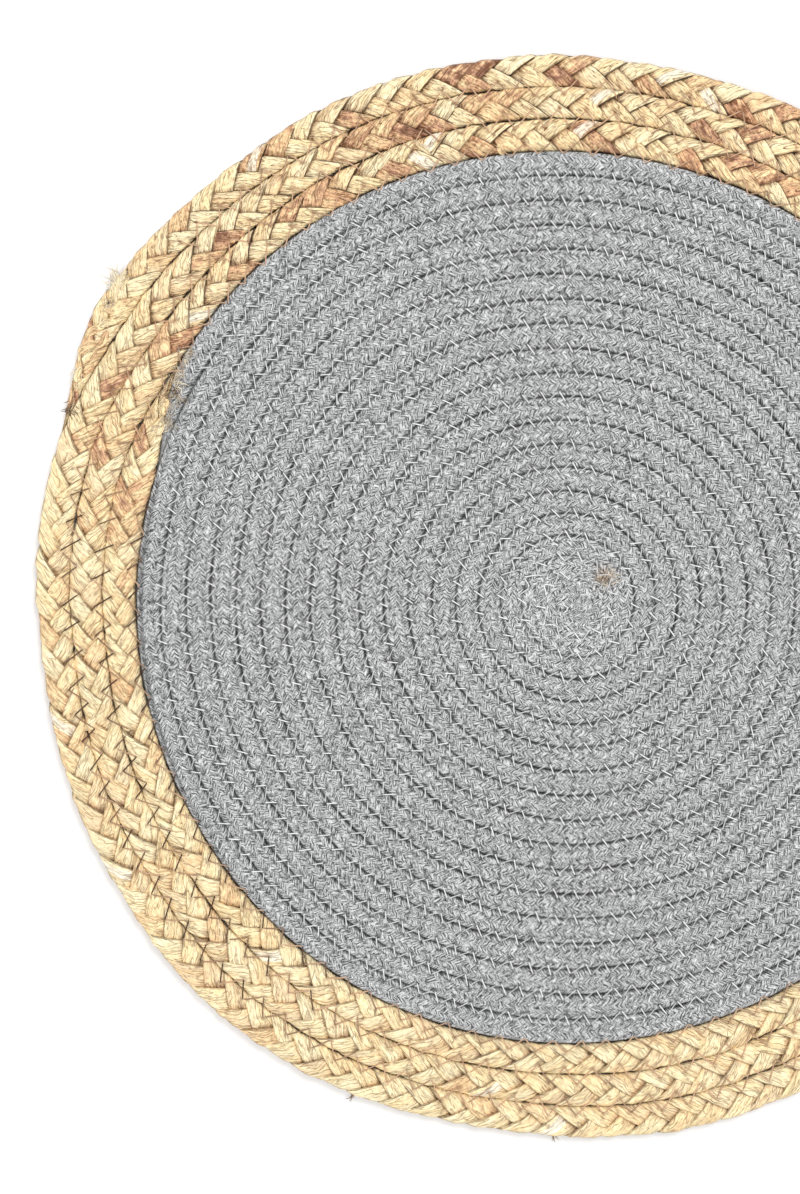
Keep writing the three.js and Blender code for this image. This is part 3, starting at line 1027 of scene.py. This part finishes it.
# Where a strand dives under the next one, painted shade darkens it and makes it rosier; the rest of the rose
# is the leaf's own blush.
dives = leaf_depth.ramp(-3.2, 0.2)
rosy_share = ((leaf_blush - 0.6).most(0.0) * 0.6 + dives * 0.25).within(0.0, 0.6)
leaf_colour = straw.mix(rosy_share, leaf_gold, ROSY_LEAF)
leaf_colour = straw.mix(white_flesh * 0.8, leaf_colour, WHITE_FLESH)

# Veins and wrinkles mottle the leaf's own colour, the brown lobes more strongly. Painted shade darkens
# it in its creases, where it dives under the next strand and at the needle holes.
mottle = 1.0 + (1.0 - leaf_tone) * 1.6 + brown_and_shaded_side * 0.4
shade = (1.06 - brown_and_shaded_side * 0.03 - dives * (0.16 + brown_and_shaded_side * 0.14)) * (0.72 + creases * 0.32)
shade = shade * (1.0 - straw.number("hole") * 0.55)
shade = shade * (1.0 + ((veins - 0.5) * 0.5 + (wrinkles - 0.5) * 0.4) * mottle + (hairs - 0.5) * 1.2)
shade = shade * (1.0 + (crinkles - 0.5) * (0.15 + (1.0 - leaf_tone) * 1.6))
leaf_colour = straw.scaled(leaf_colour, shade.most(1.0))
shadow_share = ((1.0 - shade) * (1.2 + brown_and_shaded_side * 0.5)).within(0.0, 1.0)
leaf_colour = straw.mix(shadow_share, leaf_colour, LEAF_SHADOW)
straw.colour(straw.mix(edge * (0.64 + brown_and_shaded_side * 0.34), leaf_colour, DARK_RIM_AND_SHADE))
straw.roughness(0.62 - (veins - 0.5) * 0.3)
straw.relief(veins * 0.7 + hairs * 0.5 + wrinkles * 0.9 + creases * 0.5 + crinkles * 0.6, 0.6)
print(f"the straw is drawn by {len(straw.tree.nodes)} nodes")

# %% Make the three strands
def moved_faces(faces, first):
    """The same faces, for points that come after some others."""
    return [[corner + first for corner in face] for face in faces]


plait_points, plait_faces = [], []
for number in range(3):
    points, faces, facts = strand(number)
    mesh = make_mesh(f"straw_strand_{number + 1}", points, faces)
    keep_facts(mesh, facts)
    piece = make_object(mesh.name, mesh, straw)
    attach(piece, "root")
    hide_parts("straw_braid")
    plait_faces += moved_faces(faces, len(plait_points))
    plait_points += points.tolist()
    print(f"{piece.name} has {2 * len(faces)} triangles")

# %% [markdown]
# ## The stitches
# A sewing machine has joined the turns with a zigzag. Each stitch is a thin thread that crosses the
# seam, goes down through the cord and comes up on the other side. All of them are made at once.
# Arrays hold the two ends of every stitch. Rays from above find how high the mat is under each
# thread, and a thread pulled tight spans the dips between its high points. Then one function
# sweeps a thin square tube along every line. A second thread runs straight along the underside
# from hole to hole, half sunk into the mat.

# %% Thin threads that lie on the mat
THREAD_RADIUS = 0.2
THREAD_POINTS = 6
THREAD_END = 0.5
UNDER_THREAD = 0.25

mat_surface = BVHTree.FromPolygons(coil_points.tolist() + plait_points,
                                   coil_polygons + moved_faces(plait_faces, len(coil_points)))


def surface_heights(lines):
    """How high the mat is under each point of some lines. The table counts as zero."""
    heights = []
    for x, y, _ in lines.reshape(-1, 3).tolist():
        place = mat_surface.ray_cast((x, y, 30), (0, 0, -1))[0]
        heights.append(place.z if place else 0.0)
    return np.array(heights).reshape(lines.shape[:-1])


def pulled_tight(heights):
    """The heights of a tight thread, which touches the high points and spans the dips."""
    tight = heights.copy()
    last = heights.shape[1]
    for near in range(last):
        for far in range(near + 2, last):
            for between in range(near + 1, far):
                straight = blend(heights[:, near], heights[:, far], (between - near) / (far - near))
                tight[:, between] = np.maximum(tight[:, between], straight)
    return tight


def repeated(faces, count, points_each):
    """The faces of many equal pieces, whose points follow each other."""
    return (np.arange(count)[:, None, None] * points_each + np.array(faces)).reshape(-1, 4).tolist()


def tubes(lines, radius):
    """Square tubes along lines that all have the same number of points."""
    direction = np.gradient(lines, axis=1)
    direction /= np.linalg.norm(direction, axis=2, keepdims=True)
    sideways = np.cross(direction, [0.0, 0.0, 1.0])
    sideways /= np.linalg.norm(sideways, axis=2, keepdims=True) + 1e-6
    up = np.cross(sideways, direction)
    corners = [(1, 0), (0, 1), (-1, 0), (0, -1)]
    ring = np.stack([lines + radius * (a * sideways + b * up) for a, b in corners], axis=2)
    count, rings, around = ring.shape[:3]
    return ring.reshape(-1, 3), repeated(tube_faces(rings, around), count, rings * around)


def stitch_lines(starts, ends, sink):
    """Lines from starts to ends that lie tight on the mat, and go into it at both ends."""
    share = np.linspace(0, 1, THREAD_POINTS)[None, :, None]
    lines = starts[:, None] + (ends - starts)[:, None] * share
    lines[..., 2] = pulled_tight(surface_heights(lines)) - np.asarray(sink)
    lines[:, [0, -1], 2] -= THREAD_END
    lines[..., 2] = np.maximum(lines[..., 2], UNDER_THREAD)
    return lines


def stitches_mesh(name, legs, radius, fact, top_values, under_value):
    """The mesh of all stitches of a kind, from (starts, ends, sink) rows, with one fact for each."""
    top_points, top_faces = tubes(np.concatenate([stitch_lines(*leg) for leg in legs]), radius)
    straight = np.concatenate([np.stack([starts, ends], axis=1) for starts, ends, _ in legs])
    straight[..., 2] = UNDER_THREAD
    under_points, under_faces = tubes(straight, THREAD_RADIUS)
    faces = top_faces + moved_faces(under_faces, len(top_points))
    mesh = make_mesh(name, np.concatenate([top_points, under_points]), faces)
    top_values = np.repeat(np.clip(top_values, 0, 1), THREAD_POINTS * 4)
    keep_numbers(mesh, fact, np.concatenate([top_values, np.full(len(under_points), under_value)]))
    print(f"{name} has {2 * len(faces)} triangles")
    return mesh


# %% The cord's stitches
jitter = chance.uniform(-0.06, 0.06, (4, len(cord_numbers) + 1))
outer_phase = np.append(cord_numbers, cord_numbers[-1] + 1) + jitter[0]
outer_ends = stitch_points(outer_phase, REACH + 6 * jitter[1])
inner_ends = stitch_points(cord_numbers + lean + jitter[2, :-1], -REACH + 6 * jitter[3, :-1])

# The shorter leg of each stitch lies on top, and the longer one sinks into the cotton.
long_leg = np.stack([smoothstep(lean, 0.33, 0.67), 1 - smoothstep(lean, 0.33, 0.67)])
buried = (long_leg * 0.18 - 0.22 + chance.uniform(-0.05, 0.12, long_leg.shape))[..., None]
cord_legs = [(outer_ends[:-1], inner_ends, buried[0]), (inner_ends, outer_ends[1:], buried[1])]
# The longer leg of each stitch is painted darker, as painted shade, with a little random tone.
dull = long_leg.ravel() * 0.6 + chance.uniform(-0.1, 0.2, long_leg.size)
cord_thread_mesh = stitches_mesh("cord_stitches", cord_legs, THREAD_RADIUS, "dull", dull, under_value=0.2)

# %% The thread's finish
# The thread's white, and the grey of the painted shade on it.
WHITE_THREAD, SHADED_THREAD = from_screen(255, 255, 255), from_screen(184, 184, 184)

cotton_thread = Finish("off_white_thread", Roughness=0.6, Specular_IOR_Level=0.4)
twist = cotton_thread.noise_on(cotton_thread.start.node("ShaderNodeTexCoord", out=3), scale=900.0)
thread_colour = cotton_thread.mix(cotton_thread.number("dull"), WHITE_THREAD, SHADED_THREAD)
cotton_thread.colour(cotton_thread.scaled(thread_colour, 0.8 + twist * 0.4))
cord_stitches = make_object("cord_stitches", cord_thread_mesh, cotton_thread)
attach(cord_stitches, "root")

# %% The straw's own stitches
# Where round the mat the straw's thread is dark, partly a brown thread and partly painted shade: from,
# to, and over how many degrees it changes.
DARK_THREAD_START, DARK_THREAD_END = (165.0, 12), (240.0, 20)
TAN_THREAD, BROWN_AND_SHADED_THREAD = from_screen(212, 174, 142), from_screen(76, 52, 38)
STRAW_THREAD_RADIUS = THREAD_RADIUS * 1.15

# How far the two legs of a stitch are raised from the straw's high points, as the thread is thick.
RAISED, LESS_RAISED = 0.32, 0.24


def changes_at(angle, place, margin):
    return smoothstep(angle, place - margin, place + margin)


straw_legs = [(straw_inner, straw_outer[:-1], -RAISED), (straw_outer[:-2], straw_inner[1:], -LESS_RAISED)]
leg_angle = np.mod(np.concatenate([straw_angle[:-1], straw_angle[:-2]]), TURN)
dark = changes_at(leg_angle, *DARK_THREAD_START) * (1 - changes_at(leg_angle, *DARK_THREAD_END))
dark[len(straw_numbers):] *= 0.35
dark += chance.uniform(-0.3, 0.4, len(dark))
straw_thread_mesh = stitches_mesh("straw_stitches", straw_legs, STRAW_THREAD_RADIUS, "dark", dark,
                                  under_value=0.1)

straw_thread = Finish("tan_thread", Roughness=0.6, Specular_IOR_Level=0.4)
straw_thread.colour(straw_thread.mix(straw_thread.number("dark"), TAN_THREAD, BROWN_AND_SHADED_THREAD))
straw_stitches = make_object("straw_stitches", straw_thread_mesh, straw_thread)
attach(straw_stitches, "root")

# %% [markdown]
# ## Frayed ends
# The cord and the plait both end somewhere, and their ends fray: a worn, beige spot near the
# middle, tufts at the plait's outer end, and a fringe where the cord tapers out beside the first
# plait. Each tuft is a row of a table, and its fibres are short curved lines with random headings
# about one direction. They use the same tubes as the stitches.

# %% Tufts of loose fibre
FIBRE_POINTS = 7
FIBRE_RADIUS = 0.17

# Angle and reach of the tuft, its size, its heading, how far it fans out, the fibres' length,
# their number, and their tone from 0 for the darkest to 1 for the lightest.
STRAW_TUFTS = [
    (145.2, 194.2, 2.6, 110, 60, 5.0, 60, 0.95), (147.0, 192.6, 1.6, 200, 80, 3.0, 20, 0.7),
    (155.3, 191.0, 1.5, 170, 90, 2.6, 18, 0.85), (158.6, 188.9, 2.0, 250, 70, 3.6, 20, 0.1),
    (157.4, 156.2, 1.8, 100, 90, 3.0, 22, 0.7), (155.0, 157.6, 2.0, 60, 90, 3.2, 22, 0.55),
    (151.5, 159.4, 2.2, 40, 90, 3.2, 20, 0.75), (148.0, 161.0, 2.0, 30, 90, 2.6, 16, 0.7),
    (246.0, 190.0, 0.8, 240, 60, 2.4, 5, 0.3), (268.0, 188.5, 0.8, 280, 60, 2.2, 5, 0.4),
]
COTTON_TUFTS = [
    (36.5, 14.2, 3.4, 25, 40, 3.4, 9, 1.0), (38.0, 13.6, 3.0, 200, 70, 2.6, 8, 0.7),
    (37.0, 14.8, 2.2, 200, 40, 2.8, 12, 0.0), (152.0, 157.0, 1.3, 200, 60, 2.2, 14, -0.25),
    (152.5, 156.0, 2.0, 240, 90, 3.0, 30, 0.6), (156.0, 154.6, 1.8, 200, 90, 3.0, 26, 0.6),
    (149.5, 158.6, 2.0, 230, 90, 3.0, 24, 0.7), (146.5, 160.2, 1.8, 220, 90, 2.6, 18, 0.7),
]


def tuft_lines(angle, reach, size, heading, fan, length, count, tone):
    """The curved lines of one tuft, and a tone for each."""
    roots = polar(reach, angle, 0.0)[:2] + chance.normal(0, size / 2, (count, 2))
    towards = np.radians(heading + chance.uniform(-fan, fan, count))
    lengths = length * chance.uniform(0.5, 1.2, count)
    curl = chance.uniform(-1.3, 1.3, count)
    share = np.linspace(0, 1, FIBRE_POINTS)[None, :]
    turning = towards[:, None] + curl[:, None] * share
    steps = lengths[:, None] / (FIBRE_POINTS - 1)
    x = roots[:, :1] + np.cumsum(steps * np.cos(turning), axis=1)
    y = roots[:, 1:] + np.cumsum(steps * np.sin(turning), axis=1)
    lines = np.stack([x, y, 0 * x], -1)
    under = surface_heights(lines)
    rise = chance.uniform(0.1, 0.9, count)[:, None] * share
    falling = blend(under[:, :1], 0.5, share ** 1.5)
    level = np.maximum(under + 0.05, falling) + rise - 0.25 * (1 - share) ** 4
    lines[..., 2] = np.maximum(level, UNDER_THREAD)
    return lines, np.clip(tone + chance.uniform(-0.3, 0.3, count), 0, 1)


def make_tufts(name, rows, finish):
    made = [tuft_lines(*row) for row in rows]
    taper = np.linspace(1, 0.4, FIBRE_POINTS)[None, :, None]
    points, faces = tubes(np.concatenate([lines for lines, _ in made]), FIBRE_RADIUS * taper)
    mesh = make_mesh(name, points, faces)
    keep_numbers(mesh, "tone", np.repeat(np.concatenate([tones for _, tones in made]), FIBRE_POINTS * 4))
    piece = make_object(name, mesh, finish)
    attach(piece, "root")
    print(f"{name} has {2 * len(faces)} triangles")
    return piece


def fibre_finish(name, dark_end, light_end):
    made = Finish(name, Roughness=0.8, Specular_IOR_Level=0.2)
    made.colour(made.mix(made.number("tone"), from_screen(*dark_end), from_screen(*light_end)))
    return made


straw_fibre = fibre_finish("straw_fibre", (96, 68, 48), (252, 240, 214))
straw_tufts = make_tufts("straw_tufts", STRAW_TUFTS, straw_fibre)
cotton_fibre = fibre_finish("cotton_fibre", (98, 74, 54), (238, 224, 200))
cotton_tufts = make_tufts("cotton_tufts", COTTON_TUFTS, cotton_fibre)

# %% [markdown]
# ## Loose pieces of leaf
# Where the plait ends, some leaf is tucked in across the lobes, and here and there a sliver of
# leaf has peeled. Each is a short curved strip, thickest in the middle, that lies on the plait.

# %% Strips of leaf
STRIP_ROWS, STRIP_COLUMNS = 12, 6

# Angle and reach of the middle, heading, length, width, bend in degrees, lift and tone.
LEAF_STRIPS = [
    (145.4, 193.8, 78, 7.5, 1.3, 20, 0.3, 1.0), (146.2, 192.6, 98, 6.5, 1.1, -30, 0.4, 0.95),
    (144.6, 192.4, 60, 6.0, 1.2, 30, 0.3, 0.9), (152.4, 192.0, 200, 8.5, 2.8, 90, 0.6, 0.6),
    (150.6, 192.4, 205, 8.0, 2.6, 70, 0.5, 0.62), (151.0, 188.4, 240, 7.5, 2.4, -60, 0.7, 0.45),
    (149.2, 189.6, 190, 7.0, 2.2, 60, 0.6, 0.8), (153.0, 189.8, 225, 8.0, 2.5, 50, 0.4, 0.55),
    (148.0, 192.4, 160, 6.0, 1.8, -40, 0.5, 0.75), (155.4, 190.6, 250, 6.0, 2.0, 60, 0.4, 0.9),
    (157.6, 188.6, 265, 5.5, 1.4, -30, 0.3, 0.1), (194.1, 173.6, 228, 8.5, 2.3, 12, 0.15, 1.0),
    (113.2, 167.6, 53, 8.0, 2.1, 10, 0.15, 1.0), (108.4, 167.2, -42, 8.0, 1.4, 8, 0.15, 1.0),
    (81.4, 164.2, 36, 7.0, 2.2, 10, 0.15, 1.0), (99.0, 160.2, 290, 4.4, 2.2, 60, 0.3, 0.75),
    (154.6, 158.2, 250, 6.5, 2.4, 40, 0.3, 0.7), (157.2, 156.8, 255, 6.0, 2.0, -40, 0.3, 0.85),
]


def leaf_strip(angle, reach, heading, length, width, bend, lift):
    """The points of one strip, upper side first."""
    share = np.linspace(0, 1, STRIP_ROWS)
    turning = np.radians(heading + bend * (share - 0.5))
    steps = length / (STRIP_ROWS - 1) * np.stack([np.cos(turning), np.sin(turning)], -1)
    line = np.cumsum(steps, axis=0)
    line += polar(reach, angle, 0.0)[:2] - line.mean(axis=0)
    sideways = np.stack([-np.sin(turning), np.cos(turning)], -1)
    side = np.linspace(-1, 1, STRIP_COLUMNS)
    spread_out = width / 2 * (1 - np.abs(2 * share - 1) ** 3) ** 0.6 + 0.15
    plan = line[:, None] + sideways[:, None] * (side[None, :] * spread_out[:, None])[..., None]
    grid = np.concatenate([plan, 0 * plan[..., :1]], axis=-1)
    ridge = (1 - side[None, :] ** 2) * np.sin(math.pi * share)[:, None]
    under = surface_heights(grid)
    level = np.maximum(under, blend(under.min(), under.max(), 0.6))
    top, bottom = grid.copy(), grid.copy()
    top[..., 2] = level + 0.1 + lift * ridge
    bottom[..., 2] = level - 0.4
    return np.concatenate([top.reshape(-1, 3), bottom.reshape(-1, 3)])


def strip_faces():
    """Faces of one strip: its upper side, its underside, and the wall round both."""
    grid = np.arange(STRIP_ROWS * STRIP_COLUMNS).reshape(STRIP_ROWS, STRIP_COLUMNS)
    top = np.stack([grid[:-1, 1:], grid[1:, 1:], grid[1:, :-1], grid[:-1, :-1]], -1).reshape(-1, 4)
    border = np.concatenate([grid[0, :-1], grid[:-1, -1], grid[-1, :0:-1], grid[:0:-1, 0]])
    following = np.roll(border, -1)
    below = grid.size
    wall = np.stack([border, following, following + below, border + below], -1)
    return np.concatenate([top, top[:, ::-1] + below, wall])


strip_count = len(LEAF_STRIPS)
strip_points = np.concatenate([leaf_strip(*row[:-1]) for row in LEAF_STRIPS])
per_strip = len(strip_points) // strip_count
strip_mesh = make_mesh("leaf_strips", strip_points, repeated(strip_faces(), strip_count, per_strip))

# The strips wear the straw's finish, so they keep the same facts as a strand, but for brown_share.
strip_side = np.tile(np.linspace(-1, 1, STRIP_COLUMNS), STRIP_ROWS * 2 * strip_count)
strip_share = np.tile(np.repeat(np.linspace(0, 1, STRIP_ROWS), STRIP_COLUMNS), 2 * strip_count)
strip_facts = {
    "along": strip_share * 8 + np.repeat(np.arange(strip_count) * 31.0, per_strip),
    "across": strip_side * 1.2,
    "side": strip_side * 0.9,
    "tone": np.repeat([row[-1] for row in LEAF_STRIPS], per_strip),
    "blush": np.repeat(chance.uniform(0, 0.7, strip_count), per_strip),
    "depth": np.full_like(strip_side, -8.0),
    "fold": np.zeros_like(strip_side),
    "hole": np.zeros_like(strip_side),
}
keep_facts(strip_mesh, strip_facts)
print(f"{strip_count} strips of leaf")
leaf_strips = make_object("leaf_strips", strip_mesh, straw)
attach(leaf_strips, "root")

# %% [markdown]
# ## Last words
# The coil is the cloth of this mat. Here the reach of its rim is worked out once round, in metres.

rim_turns = np.linspace(CORD_TURNS - 1, CORD_TURNS, 2001)
rim_reach = outer_side_radius(rim_turns) * MM
